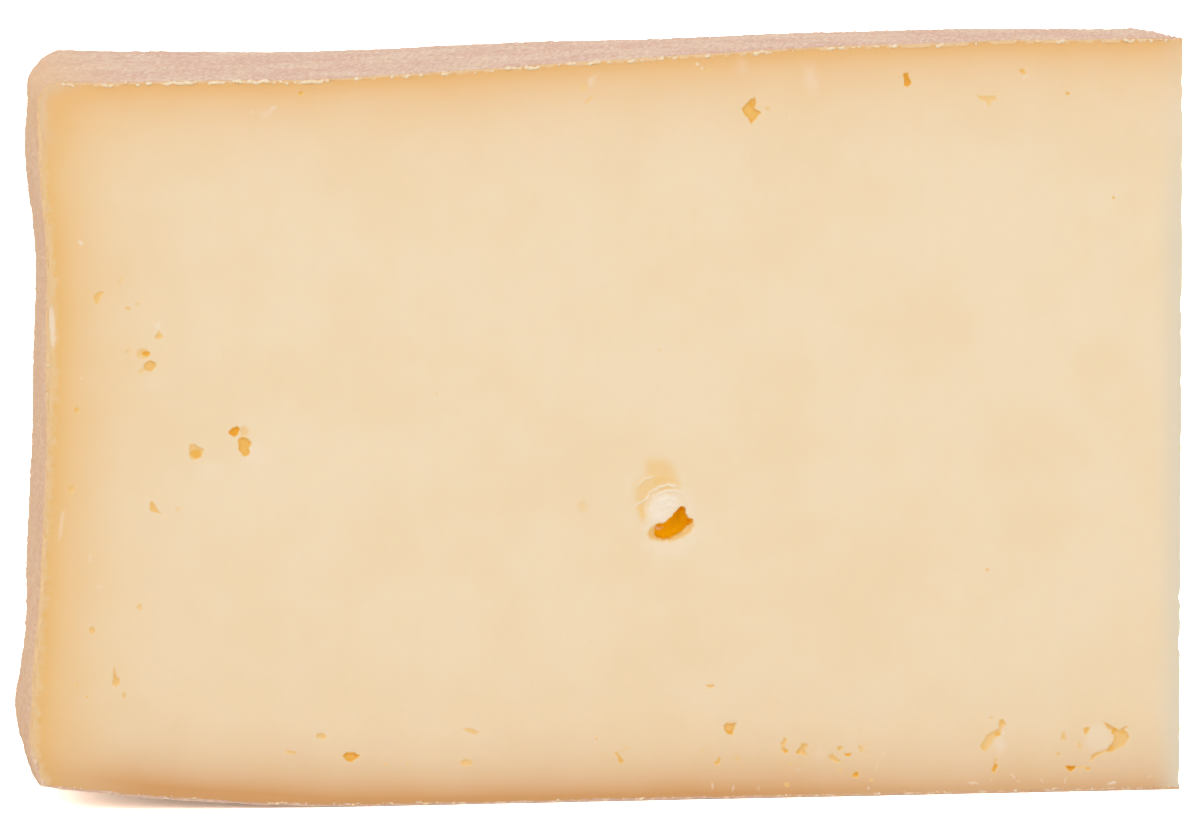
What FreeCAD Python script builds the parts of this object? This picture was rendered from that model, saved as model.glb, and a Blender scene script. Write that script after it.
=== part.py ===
import FreeCAD, Part
import math
import os

# A slice of semi-hard washed-rind cheese: the outer part of a narrow wedge from a flat
# round wheel. Millimetres, +Z up, wheel axis vertical, origin under the middle of the
# slice's box. The wide front cut face looks to -Y, the rind heel to -X, and the short
# cut where the wedge's tip came off to +X. It stands on the bottom rind.

# Driving dimensions of the wheel and of the slice
wheel_radius = 195.0       # out to the widest bulge of the heel
middle_height = 82.1       # thickness of the wheel away from its rim
cut_length = 125.8         # front cut face, from the heel to the tip cut
wedge_angle = 13.0         # degrees between the front and back cut faces
tip_cut_angle = 82.5       # degrees between the tip cut and the front cut face

# Top rind: level in the middle, sinking to a lower level band along the rim
rim_drop = 3.3             # how much lower the band is than the middle
rim_band = 27.0            # width of the level band, inward from the heel
drop_run = 88.0            # length over which the top sinks from middle to band
middle_ease = 0.5          # share of that run over which it leaves the middle level
band_ease = 0.23           # and over which it settles at the band's level
shoulder_radius = 2.5      # rounding between the top rind and the heel

# Heel: two bulges with a shallow waist between them
upper_bulge_below_band = 7.0
upper_bulge_inset = 0.9    # how far the upper bulge lies inside the lower one
waist_below_band = 22.0
waist_inset = 2.1
lower_bulge_height = 8.5
bulge_ease = 0.06          # the lower bulge is short: share of its rise from the waist

# Bottom rind: flat, lifting off the table towards the rim
foot_lift = 2.9
foot_inset = 1.3
lift_run = 38.0

# Share of an S-shaped stretch over which it leaves, and meets, the direction it has
# there, where none is given above
ease = 0.42

# Eyes that the knife opened, each an ellipsoid sunk by half into a big cut face:
# distance from the heel or the tip cut, height above the bottom or depth below the
# middle height, half width, half height, depth, and turn in degrees
front_eyes = [
    ("heel", 69.7, "bottom", 30.0, 2.7, 1.5, 3.0, 12.0),
    ("tip", 47.4, "top", 7.3, 0.8, 1.1, 1.2, 15.0),
    ("heel", 18.0, "bottom", 38.7, 0.8, 0.75, 1.0, 0.0),
    ("heel", 22.0, "bottom", 40.9, 0.8, 0.6, 1.0, 20.0),
    ("heel", 23.1, "bottom", 39.4, 0.75, 1.0, 1.2, 0.0),
    ("heel", 12.9, "bottom", 48.5, 0.8, 0.6, 0.8, 0.0),
    ("heel", 34.7, "bottom", 5.5, 1.0, 0.55, 0.9, 0.0),
    ("tip", 49.7, "bottom", 7.7, 0.7, 0.7, 0.8, 0.0),
    ("tip", 20.6, "bottom", 6.4, 1.0, 2.1, 1.2, -30.0),
    ("tip", 7.0, "bottom", 6.0, 1.1, 2.0, 1.3, -18.0),
]
back_eyes = [
    ("heel", 27.0, "bottom", 52.0, 1.3, 0.9, 1.4, 10.0),
    ("heel", 58.0, "top", 9.5, 0.9, 1.2, 1.1, 0.0),
    ("tip", 41.0, "bottom", 34.0, 2.0, 1.4, 2.2, -15.0),
    ("tip", 15.0, "bottom", 6.5, 1.2, 1.7, 1.2, 25.0),
    ("heel", 39.0, "bottom", 6.0, 1.0, 0.7, 0.9, 0.0),
]

half_depth = wheel_radius * math.sin(math.radians(wedge_angle)) / 2
axis_x = wheel_radius - cut_length / 2
band_height = middle_height - rim_drop
up = FreeCAD.Vector(0, 0, 1)
inward = FreeCAD.Vector(1, 0, 0)


def at(inset, height):
    """The point of the front plane that lies this far in from the widest bulge."""
    return FreeCAD.Vector(axis_x - wheel_radius + inset, -half_depth, height)


def curve(*poles):
    """A smooth edge that leaves and reaches its end points towards its inner poles."""
    bezier = Part.BezierCurve()
    bezier.setPoles(list(poles))
    return bezier.toShape()


def sway(start, end, direction, leave=ease, arrive=ease):
    """An S-shaped edge that runs along the same direction at both of its ends."""
    run = direction * (end - start).dot(direction)
    return curve(start, start + run * leave, end - run * arrive, end)


def wheel_section():
    """The wheel's half section, from its axis out to the heel, as a face."""
    shoulder_top = at(upper_bulge_inset + shoulder_radius, band_height)
    shoulder_side = at(upper_bulge_inset, band_height - shoulder_radius)
    corner = shoulder_radius * (1 - math.sqrt(0.5))
    shoulder_middle = at(upper_bulge_inset + corner, band_height - corner)
    axis_top = at(wheel_radius, middle_height)
    axis_bottom = at(wheel_radius, 0)
    drop_start = at(rim_band + drop_run, middle_height)
    band_start = at(rim_band, band_height)
    upper_bulge = at(upper_bulge_inset, band_height - upper_bulge_below_band)
    waist = at(waist_inset, band_height - waist_below_band)
    lower_bulge = at(0, lower_bulge_height)
    foot = at(foot_inset, foot_lift)
    lift_end = at(foot_inset + lift_run, 0)
    edges = [
        Part.makeLine(axis_top, drop_start),
        sway(drop_start, band_start, inward, middle_ease, band_ease),
        Part.makeLine(band_start, shoulder_top),
        Part.Arc(shoulder_top, shoulder_middle, shoulder_side).toShape(),
        Part.makeLine(shoulder_side, upper_bulge),
        sway(upper_bulge, waist, up),
        sway(waist, lower_bulge, up, ease, bulge_ease),
        curve(lower_bulge, at(0, (lower_bulge_height + foot_lift) / 2), foot),
        curve(foot, at(foot_inset + lift_run / 2, 0), lift_end),
        Part.makeLine(lift_end, axis_bottom),
        Part.makeLine(axis_bottom, axis_top),
    ]
    return Part.Face(Part.Wire(edges))


def tip_cutter():
    """A block over everything on the tip's side of the tip cut."""
    reach = 2 * wheel_radius
    block = Part.makeBox(reach, 2 * reach, 3 * middle_height)
    block.translate(FreeCAD.Vector(0, -reach, -middle_height))
    block.rotate(FreeCAD.Vector(0, 0, 0), up, 90.0 - tip_cut_angle)
    block.translate(FreeCAD.Vector(cut_length / 2, -half_depth, 0))
    return block


def eye(side, distance, level, height, half_width, half_height, depth, turn):
    """One eye, as an ellipsoid centred on the front cut face."""
    from_heel = distance if side == "heel" else cut_length - distance
    z = height if level == "bottom" else middle_height - height
    stretch = FreeCAD.Matrix()
    stretch.scale(half_width, depth, half_height)
    hollow = Part.makeSphere(1.0).transformGeometry(stretch)
    hollow.rotate(FreeCAD.Vector(0, 0, 0), FreeCAD.Vector(0, 1, 0), turn)
    hollow.translate(at(from_heel, z))
    return hollow


def cheese_wedge():
    """The whole slice: a sector of the wheel, less its tip and the opened eyes."""
    axis = FreeCAD.Vector(axis_x, -half_depth, 0)
    body = wheel_section().revolve(axis, -up, wedge_angle)
    body = body.cut(tip_cutter())
    eyes = [eye(*values) for values in front_eyes]
    for values in back_eyes:
        hollow = eye(*values)
        hollow.rotate(axis, up, -wedge_angle)
        eyes.append(hollow)
    for hollow in eyes:
        body = body.cut(hollow)
    return body.Solids[0]


os.makedirs("parts", exist_ok=True)
wedge = cheese_wedge()
wedge.exportStep("parts/cheese_wedge.step")
print("cheese_wedge valid", wedge.isValid(), "volume cm3", round(wedge.Volume / 1000, 1))
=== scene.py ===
import math
import random

import bpy
import numpy as np
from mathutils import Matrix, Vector, noise


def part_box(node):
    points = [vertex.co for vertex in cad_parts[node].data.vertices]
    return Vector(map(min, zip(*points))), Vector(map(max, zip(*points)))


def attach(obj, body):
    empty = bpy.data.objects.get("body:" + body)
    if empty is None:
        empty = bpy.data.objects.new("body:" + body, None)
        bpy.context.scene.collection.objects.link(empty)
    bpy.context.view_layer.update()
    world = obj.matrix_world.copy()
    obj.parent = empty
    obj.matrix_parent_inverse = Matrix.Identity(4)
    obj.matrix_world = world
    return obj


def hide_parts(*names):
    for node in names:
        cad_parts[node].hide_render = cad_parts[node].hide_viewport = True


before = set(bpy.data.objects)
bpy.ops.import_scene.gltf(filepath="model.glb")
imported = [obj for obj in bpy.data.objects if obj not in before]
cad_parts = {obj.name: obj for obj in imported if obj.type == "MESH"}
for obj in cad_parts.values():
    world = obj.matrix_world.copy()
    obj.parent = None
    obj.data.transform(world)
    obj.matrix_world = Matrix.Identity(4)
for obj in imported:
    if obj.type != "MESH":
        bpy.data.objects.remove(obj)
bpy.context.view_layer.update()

mm = 0.001
low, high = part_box("cheese_wedge")

# the wheel that the slice was cut from, as in the frame
wheel = {
    "radius": 195.0 * mm,
    "tipCutAngle": math.radians(82.5),
    "rimDrop": 3.3 * mm,            # the top's band along the rim lies this much lower
    "rimBand": 27.0 * mm,
    "dropRun": 88.0 * mm,
    "dropEase": (0.23, 0.5),
    "shoulder": 2.5 * mm,
    "upperBulgeBelow": 7.0 * mm,
    "upperBulgeInset": 0.9 * mm,
    "waistBelow": 22.0 * mm,
    "waistInset": 2.1 * mm,
    "lowerBulge": 8.5 * mm,
    "bulgeEase": (0.06, 0.42),
    "footLift": 2.9 * mm,
    "footInset": 1.3 * mm,
    "liftRun": 38.0 * mm,
}
wedgeAngle = math.asin((high.y - low.y) / wheel["radius"])
cutLength = high.x - low.x
axisX = low.x + wheel["radius"]
axisY = low.y
bandHeight = high.z - wheel["rimDrop"]
hemHeights = (4.0 * mm, 9.0 * mm)   # between these the look of the bottom's hem gives way


def ease(t):
    t = np.clip(t, 0.0, 1.0)
    return t * t * (3.0 - 2.0 * t)


def sway(share, leave=0.42, arrive=0.42):
    # an S from 0 to 1, level over these shares of its run at either end
    t = np.linspace(0.0, 1.0, 240)
    run = 3 * (1 - t) ** 2 * t * leave + 3 * (1 - t) * t ** 2 * (1 - arrive) + t ** 3
    return np.interp(share, run, t * t * (3 - 2 * t))


def mix(a, b, t):
    return a + (b - a) * t


def noiseAt(points, size, seed, octaves=2):
    # smooth noise between about -1 and 1, with features of the given size
    shift = Vector((seed * 7.31, seed * 3.17, seed * 5.73))
    out = np.empty(len(points))
    for i, p in enumerate(points):
        q = Vector((p[0] / size, p[1] / size, p[2] / size)) + shift
        value = noise.noise(q) + 0.5 * noise.noise(q * 2.1)
        if octaves > 2:
            value += 0.25 * noise.noise(q * 4.3)
        out[i] = value
    return out


def waves(points, depthAndSize, seed):
    # unevenness of this depth, with features of this size
    depth, size = depthAndSize
    return depth * noiseAt(points, size, seed)


def stack(a, b, c):
    return np.stack(np.broadcast_arrays(a, b, c), axis=-1).reshape(-1, 3)


def heelInset(z):
    # how far the heel lies inside the wheel's radius at a height
    w = wheel
    upperZ = bandHeight - w["upperBulgeBelow"]
    waistZ = bandHeight - w["waistBelow"]
    upper = mix(w["waistInset"], w["upperBulgeInset"], sway((z - waistZ) / (upperZ - waistZ)))
    lower = w["waistInset"] * sway((z - w["lowerBulge"]) / (waistZ - w["lowerBulge"]), *w["bulgeEase"])
    footShare = np.clip((w["lowerBulge"] - z) / (w["lowerBulge"] - w["footLift"]), 0.0, 1.2)
    inset = np.where(z > waistZ, upper, lower) + w["footInset"] * footShare ** 2
    over = np.clip(z - (bandHeight - w["shoulder"]), 0.0, w["shoulder"])
    return inset + w["shoulder"] - np.sqrt(w["shoulder"] ** 2 - over ** 2)


def topAt(inset):
    share = (inset - wheel["rimBand"]) / wheel["dropRun"]
    return bandHeight + wheel["rimDrop"] * sway(share, *wheel["dropEase"])


def bottomAt(inset):
    t = np.clip((inset - wheel["footInset"]) / wheel["liftRun"], 0.0, 1.0)
    return wheel["footLift"] * (1.0 - t) ** 2


def tipInset(turn):
    reach = (wheel["radius"] - cutLength) * math.sin(wheel["tipCutAngle"])
    return wheel["radius"] - reach / np.sin(wheel["tipCutAngle"] - turn)


def placeAt(inset, turn, z):
    r = wheel["radius"] - inset
    return stack(axisX - r * np.cos(turn), axisY + r * np.sin(turn), z)


def pushOut(points, turn, amount):
    # moves points away from the wheel's axis
    points[:, 0] -= amount * np.cos(turn)
    points[:, 1] += amount * np.sin(turn)
    return points


# the rind's unevenness: its depth and the size of its features
uneven = {
    "top": (0.13 * mm, 14.0 * mm),
    "heel": (0.25 * mm, 16.0 * mm),
    "foot": (0.10 * mm, 3.0 * mm),
    # the top's middle lies this much lower at the back; from the heel, where that sets in and
    # over what length, and where it ends and over what length
    "backSunk": 0.4 * mm,
    "sunkSpan": (52.0 * mm, 20.0 * mm, 130.0 * mm, 14.0 * mm),
    # how the heel changes towards the back: amount, height and reach in millimetres
    "swell": (0.5, 9.2, 3.0),
    "swellBelow": (0.3, 6.0, 3.0),
    "slack": (0.55, 18.5, 4.5),
    "shoulder": (0.9, 60.0, 14.0),
    "ridge": (0.5, 70.0, 4.5),
    "lip": (0.35, 78.0, 2.0),
}


def topWave(inset, turn, points):
    # the slow unevenness of the top rind, which sinks a little towards the back
    slow = waves(points * (1.0, 1.0, 0.0), uneven["top"], seed=1)
    start, setIn, end, fade = uneven["sunkSpan"]
    sunk = ease((inset - start) / setIn) * ease((end - inset) / fade)
    return slow - uneven["backSunk"] * sunk * turn / wedgeAngle


def footWave(points):
    # the bottom rind's rippled underside, nowhere below the table
    depth, size = uneven["foot"]
    ripple = noiseAt(points * (1.0, 1.0, 0.0), size, seed=7)
    return depth * np.clip(ripple + 0.35, 0.0, 1.2)


def lump(name, z):
    # a swelling round its height
    amount, height, reach = uneven[name]
    return amount * np.exp(-((z - height * mm) / (reach * mm)) ** 2)


def slide(name, z, way):
    # a change that sets in at its height, upwards (1) or downwards (-1)
    amount, height, reach = uneven[name]
    return amount * ease(way * (z - height * mm) / (reach * mm))


def heelWave(turn, z):
    # the heel's unevenness: towards the back its foot swells below a slacker stretch, and its
    # shoulder falls back with a low ridge along it
    slow = waves(stack(turn * wheel["radius"], 0.0, z), uneven["heel"], seed=2)
    swell = lump("swell", z) + slide("swellBelow", z, -1.0)
    ridge = lump("ridge", z) + lump("lip", z)
    behind = ease(turn / wedgeAngle * 1.2)
    return slow + mm * behind * (swell - lump("slack", z) - slide("shoulder", z, 1.0) + ridge)


cornerHeights = (66.0 * mm, 9.0 * mm)   # the rounded corner starts here and rises over this


def cornerShare(fromHeel, z, reach):
    # 1 at the rounded corner between heel and top, fading inwards over a reach and downwards
    start, rise = cornerHeights
    return ease(1.0 - fromHeel / reach) * ease((z - start) / rise)


def readAll(items, what):
    # a vector of each vertex or face, as rows
    flat = np.empty(len(items) * 3)
    items.foreach_get(what, flat)
    return flat.reshape(-1, 3)


def getPoints(mesh):
    return readAll(mesh.vertices, "co")


def setPoints(mesh, points):
    mesh.vertices.foreach_set("co", np.ascontiguousarray(points).reshape(-1))
    mesh.update()


def deselectAll():
    if bpy.context.object and bpy.context.object.mode != "OBJECT":
        bpy.ops.object.mode_set(mode="OBJECT")
    bpy.ops.object.select_all(action="DESELECT")


def makeActive(piece):
    deselectAll()
    piece.select_set(True)
    bpy.context.view_layer.objects.active = piece


def newGrid(name, columns, rows):
    # a flat sheet from 0 to 1 along X and Y, ready to be wrapped
    deselectAll()
    bpy.ops.mesh.primitive_grid_add(x_subdivisions=columns, y_subdivisions=rows, size=1.0)
    piece = bpy.context.object
    piece.name = name
    piece.data.name = name
    bpy.ops.object.mode_set(mode="EDIT")
    bpy.ops.transform.translate(value=(0.5, 0.5, 0.0))
    bpy.ops.object.mode_set(mode="OBJECT")
    return piece


def selectOnly(piece, faces=None, edges=None):
    # opens edit mode with only these faces or edges selected
    makeActive(piece)
    mesh = piece.data
    nothing = np.zeros(max(len(mesh.vertices), len(mesh.edges), len(mesh.polygons)), dtype=bool)
    mesh.vertices.foreach_set("select", nothing[:len(mesh.vertices)])
    mesh.edges.foreach_set("select", nothing[:len(mesh.edges)] if edges is None else edges)
    mesh.polygons.foreach_set("select", nothing[:len(mesh.polygons)] if faces is None else faces)
    bpy.context.tool_settings.mesh_select_mode = (False, edges is not None, faces is not None)
    bpy.ops.object.mode_set(mode="EDIT")


def store(mesh, name, values):
    # a number for each point, or a vector where the values are rows
    vectors = values.ndim > 1
    layer = mesh.attributes.new(name, "FLOAT_VECTOR" if vectors else "FLOAT", "POINT")
    flat = np.ascontiguousarray(values, dtype=np.float32).reshape(-1)
    layer.data.foreach_set("vector" if vectors else "value", flat)


def finishPiece(piece, material, smoothAngle):
    makeActive(piece)
    bpy.ops.object.shade_smooth_by_angle(angle=math.radians(smoothAngle))
    piece.data.materials.append(material)
    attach(piece, "root")
    print(piece.name + ":", len(piece.data.polygons), "faces")


def shade(red, green, blue):
    # a colour in everyday steps from 0 to 255, as the linear colour a shader takes
    def linear(c):
        c /= 255.0
        return c / 12.92 if c <= 0.04045 else ((c + 0.055) / 1.055) ** 2.4
    return (linear(red), linear(green), linear(blue), 1.0)


def newMaterial(name):
    material = bpy.data.materials.new(name)
    material.use_nodes = True
    return material, material.node_tree, material.node_tree.nodes["Principled BSDF"]


def addNode(tree, kind, inputs, output=0, **settings):
    # a number or a colour is set on its input, anything else is joined to it
    node = tree.nodes.new("ShaderNode" + kind)
    for name, value in settings.items():
        setattr(node, name, value)
    for name, value in inputs.items():
        if isinstance(value, (int, float, tuple)):
            node.inputs[name].default_value = value
        else:
            tree.links.new(value, node.inputs[name])
    return node.outputs[output]


def readStored(tree, name, output="Fac"):
    # what the mesh stores for each of its points
    return addNode(tree, "Attribute", {}, output, attribute_name=name)


def splitVector(tree, vector):
    return [addNode(tree, "SeparateXYZ", {0: vector}, axis) for axis in "XYZ"]


def objectPlace(tree):
    return addNode(tree, "TexCoord", {}, "Object")


def objectAxis(tree, axis):
    return addNode(tree, "SeparateXYZ", {0: objectPlace(tree)}, axis)


def cloud(tree, size, detail=3.0, rough=0.6, stretch=(1.0, 1.0, 1.0), place=None):
    # noise with features of the given size, drawn out along an axis by stretch
    scale = tuple(1.0 / (size * s) for s in stretch)
    place = objectPlace(tree) if place is None else place
    place = addNode(tree, "Mapping", {"Vector": place, "Scale": scale})
    inputs = {"Vector": place, "Scale": 1.0, "Detail": detail, "Roughness": rough}
    return addNode(tree, "TexNoise", inputs, "Fac")


def spread(tree, source, fromLow, fromHigh, toLow=0.0, toHigh=1.0, soft=True):
    # a source taken from one range to another and held at its ends
    inputs = {"Value": source, "From Min": fromLow, "From Max": fromHigh, "To Min": toLow, "To Max": toHigh}
    return addNode(tree, "MapRange", inputs, interpolation_type="SMOOTHSTEP" if soft else "LINEAR")


def sums(tree, kind, first, second=0.0):
    return addNode(tree, "Math", {0: first, 1: second}, operation=kind)


def blend(tree, factor, first, second):
    return addNode(tree, "Mix", {0: factor, 6: first, 7: second}, 2, data_type="RGBA")


def overlay(tree, colour, tint, source, *ends):
    # lays a tint over a colour as far as a source runs between its ends
    return blend(tree, spread(tree, source, *ends), colour, tint)


def bump(tree, height, distance, strength, under=None):
    inputs = {"Height": height, "Distance": distance, "Strength": strength}
    if under is not None:
        inputs["Normal"] = under
    return addNode(tree, "Bump", inputs)


def setSurface(shader, roughness, weight, reach, colour):
    # how rough it is, and the light that scatters under it
    shader.inputs["Roughness"].default_value = roughness
    shader.inputs["Subsurface Weight"].default_value = weight
    shader.inputs["Subsurface Scale"].default_value = reach
    shader.inputs["Subsurface Radius"].default_value = colour


pasteLook = {
    "middle": shade(239, 217, 183),
    "middleWarm": shade(238, 214, 176),
    # dry cheese under each rind, and along the bottom painted shade as well: colour, and in millimetres
    # how deep it goes in full and over what length it then fades
    "bands": {
        "heel": (shade(232, 180, 101), 0.2, 5.3),
        "top": (shade(233, 178, 108), 0.2, 3.9),
        # the bottom's band is darker than the others: dry cheese darkened further by painted shade from the
        # table
        "bottom": (shade(213, 159, 103), 0.8, 3.1),
    },
    # painted light and shade: the tip cut's edges greyer than the rest of the paste
    "tipShadingColour": shade(222, 209, 185),
    "tipReach": 4.0,                # how far in from the tip cut's edges the painted shading reaches, in millimetres
    "pale": shade(243, 229, 212),
    "corner": shade(229, 192, 150),
    "heelEdge": shade(233, 199, 153),
    # the eyes' colours, each reached at its tone; the deepest amber is partly the eyes' own colour and
    # partly painted light, the glow of light scattered through the cheese into the hollow
    "tones": [
        (0.0, 0.32, shade(238, 200, 138)),
        (0.32, 0.62, shade(238, 189, 100)),
        (0.62, 0.97, shade(237, 174, 54)),
        # deep amber, brightened as painted light against the shade inside the hollow
        (1.0, 1.3, shade(248, 184, 2)),
    ],
    # roughness, then how strongly, how far and in what colour light scatters inside
    "surface": (0.5, 0.12, 2.2 * mm, (1.0, 0.55, 0.22)),
}


def pasteMaterial():
    look = pasteLook
    material, tree, shader = newMaterial("pasteMaterial")
    mottle = cloud(tree, 9.0 * mm, rough=0.55)
    colour = blend(tree, spread(tree, mottle, 0.35, 0.7), look["middle"], look["middleWarm"])
    streaks = cloud(tree, 1.4 * mm, stretch=(1.0, 1.0, 22.0))
    colour = overlay(tree, colour, look["middleWarm"], streaks, 0.45, 0.8, 0.0, 0.35)

    toTop, toHeel, toBottom = splitVector(tree, readStored(tree, "fromRind", "Vector"))
    waver = spread(tree, cloud(tree, 6.0 * mm, 2.0, 0.5), 0.0, 1.0, 0.8, 1.25, soft=False)
    for distance, rindName in ((toHeel, "heel"), (toTop, "top"), (toBottom, "bottom")):
        tint, full, fade = look["bands"][rindName]
        beyond = sums(tree, "SUBTRACT", sums(tree, "MULTIPLY", distance, waver), full)
        fall = sums(tree, "DIVIDE", sums(tree, "MAXIMUM", beyond), -fade)
        cover = sums(tree, "EXPONENT", fall)
        if rindName == "bottom":
            # the bottom's band, dry cheese and painted shade, is fainter at both ends of the cut
            place = objectAxis(tree, "X")
            for ends in ((8.0 * mm, 42.0 * mm, 1.0, 0.7), (-63.0 * mm, -49.0 * mm, 0.4, 1.0)):
                cover = sums(tree, "MULTIPLY", cover, spread(tree, place, *ends))
        colour = blend(tree, cover, colour, tint)
    frayed = spread(tree, cloud(tree, 1.1 * mm, rough=0.65), 0.3, 0.7, -0.45, 0.45, soft=False)
    edge = sums(tree, "ADD", toHeel, frayed)
    colour = overlay(tree, colour, look["heelEdge"], edge, 1.3, 0.3, 0.0, 0.8)

    # the rind's colour creeps over the rounded corner at the top of the heel
    rubbed = sums(tree, "ADD", readStored(tree, "corner"), spread(tree, waver, 0.9, 1.15, -0.2, 0.2))
    colour = overlay(tree, colour, look["corner"], rubbed, 0.15, 1.0)

    tone, pale, bright = splitVector(tree, readStored(tree, "marks", "Vector"))
    # painted shading, greyer near the tip cut's edges, fading towards the top
    tipShading = spread(tree, readStored(tree, "fromTip"), look["tipReach"], 0.0, 0.0, 0.95)
    belowTop = spread(tree, objectAxis(tree, "Z"), 80.0 * mm, 58.0 * mm, 0.45, 1.0)
    tipShading = sums(tree, "MULTIPLY", tipShading, belowTop)
    colour = blend(tree, sums(tree, "POWER", tipShading, 1.6), colour, look["tipShadingColour"])
    colour = blend(tree, pale, colour, look["pale"])
    for start, end, tint in look["tones"]:
        colour = blend(tree, spread(tree, tone, start, end, soft=False), colour, tint)
    colour = blend(tree, bright, colour, look["pale"])
    tree.links.new(colour, shader.inputs["Base Color"])

    grain = cloud(tree, 0.35 * mm)
    drag = cloud(tree, 2.5 * mm, rough=0.5, stretch=(0.6, 0.6, 3.0))
    normal = bump(tree, drag, 0.06 * mm, 0.6)
    tree.links.new(bump(tree, grain, 0.02 * mm, 0.6, normal), shader.inputs["Normal"])
    # deep inside an eye hardly anything is mirrored
    tree.links.new(spread(tree, tone, 0.7, 1.2, 0.3, 0.04), shader.inputs["Specular IOR Level"])
    setSurface(shader, *look["surface"])
    return material


rindLook = {
    "pink": shade(218, 179, 158),
    "beige": shade(225, 194, 169),
    "bloom": shade(240, 217, 197),
    "pit": shade(205, 157, 133),
    "spot": shade(226, 167, 134),
    "corner": shade(227, 184, 140),
    # the cut side of the rind, along the top and the heel, and along the bottom
    "cutHigh": shade(234, 196, 148),
    "cutLow": shade(218, 182, 160),
    "cutLowTip": shade(222, 180, 140),
    "crumb": shade(240, 214, 186),
    "surface": (0.8, 0.05, 1.0 * mm, (1.0, 0.5, 0.25)),
}


def rindMaterial():
    look = rindLook
    material, tree, shader = newMaterial("rindMaterial")
    patch = cloud(tree, 8.0 * mm, 4.0)
    colour = blend(tree, spread(tree, patch, 0.38, 0.62), look["pink"], look["beige"])

    # the cloth's threads, drawn out along the second of their own two directions; the third
    # number stored with them is 1 at the rounded corner
    threads = readStored(tree, "cloth", "Vector")
    corner = splitVector(tree, threads)[2]
    fibres = cloud(tree, 0.42, stretch=(1.0, 6.0, 400.0), place=threads)
    lint = cloud(tree, 0.5 * mm, 4.0, 0.7)
    height = sums(tree, "ADD", sums(tree, "MULTIPLY", fibres, 0.62), sums(tree, "MULTIPLY", lint, 0.38))
    colour = overlay(tree, colour, look["pit"], height, 0.5, 0.38, 0.0, 0.6)
    colour = overlay(tree, colour, look["bloom"], height, 0.5, 0.64, 0.0, 0.65)
    spots = cloud(tree, 1.5 * mm, rough=0.65)
    colour = overlay(tree, colour, look["spot"], spots, 0.56, 0.68, 0.0, 0.55)
    flour = cloud(tree, 0.9 * mm, rough=0.8)
    colour = overlay(tree, colour, look["bloom"], flour, 0.6, 0.68, 0.0, 0.7)
    colour = blend(tree, sums(tree, "MULTIPLY", corner, 0.75), colour, look["corner"])
    towardsTip = spread(tree, objectAxis(tree, "X"), 6.0 * mm, 28.0 * mm)
    lower = blend(tree, towardsTip, look["cutLow"], look["cutLowTip"])
    crumbs = cloud(tree, 0.5 * mm, stretch=(1.8, 1.0, 0.8))
    lower = overlay(tree, lower, look["crumb"], crumbs, 0.5, 0.62, 0.0, 0.85)
    cut = blend(tree, spread(tree, objectAxis(tree, "Z"), *hemHeights), lower, look["cutHigh"])
    colour = blend(tree, spread(tree, readStored(tree, "skin"), 0.0, 0.3), colour, cut)
    tree.links.new(colour, shader.inputs["Base Color"])

    fine = cloud(tree, 0.2 * mm)
    normal = bump(tree, height, 0.22 * mm, 0.8)
    tree.links.new(bump(tree, fine, 0.04 * mm, 0.7, normal), shader.inputs["Normal"])
    shader.inputs["Specular IOR Level"].default_value = 0.2
    setSurface(shader, *look["surface"])
    return material


# tan where the rim is thin, cream on its thick flakes, pinker along the bottom: two shades each
flakeLook = {
    "tan": (shade(231, 184, 128), shade(234, 196, 146)),
    "pink": (shade(216, 170, 134), shade(232, 196, 164)),
    "cream": (shade(237, 205, 160), shade(242, 220, 188)),
    "surface": (0.62, 0.1, 0.8 * mm, (1.0, 0.6, 0.3)),
}


def flakeMaterial():
    look = flakeLook
    material, tree, shader = newMaterial("flakeMaterial")
    speck = cloud(tree, 0.5 * mm)
    tan = blend(tree, spread(tree, speck, 0.35, 0.65), *look["tan"])
    pink = blend(tree, spread(tree, speck, 0.35, 0.65), *look["pink"])
    tan = blend(tree, spread(tree, objectAxis(tree, "Z"), *hemHeights), pink, tan)
    cream = blend(tree, spread(tree, speck, 0.3, 0.65), *look["cream"])
    thick = spread(tree, readStored(tree, "flake"), 0.15, 0.75)
    tree.links.new(blend(tree, thick, tan, cream), shader.inputs["Base Color"])
    fine = cloud(tree, 0.13 * mm, 2.0, 0.5)
    tree.links.new(bump(tree, fine, 0.03 * mm, 0.6), shader.inputs["Normal"])
    setSurface(shader, *look["surface"])
    return material


cameraSetup = {
    "aim": Vector((-1.01 * mm, low.y, 42.3 * mm)),
    "distance": 1.5,
    "leftward": math.radians(9.06),
    "upward": math.radians(6.07),
    "lens": 417.4,
    "sensor": 36.0,
    "clip": (0.05, 20.0),
}


def addCamera():
    setup = cameraSetup
    data = bpy.data.cameras.new("camera")
    data.lens = setup["lens"]
    data.sensor_width = setup["sensor"]
    data.clip_start, data.clip_end = setup["clip"]
    camera = bpy.data.objects.new("camera", data)
    bpy.context.scene.collection.objects.link(camera)
    look = Vector((
        math.sin(setup["leftward"]) * math.cos(setup["upward"]),
        math.cos(setup["leftward"]) * math.cos(setup["upward"]),
        -math.sin(setup["upward"]),
    ))
    camera.location = setup["aim"] - look * setup["distance"]
    camera.rotation_euler = look.to_track_quat("-Z", "Y").to_euler()
    bpy.context.scene.camera = camera


# each soft light: place and width in metres, and watts
softLights = {
    "frontLeft": ((-0.9, -1.5, 0.9), 1.4, 11.3),
    "frontRight": ((1.0, -1.4, 0.7), 1.4, 9.0),
    "overhead": ((0.0, 0.1, 1.7), 1.8, 9.5),
    "left": ((-1.6, -0.1, 0.5), 1.2, 6.3),
    "right": ((1.6, 0.2, 0.5), 1.2, 3.0),
    "behind": ((0.1, 1.6, 0.9), 1.4, 7.0),
}
fillLight = 0.333


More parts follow.
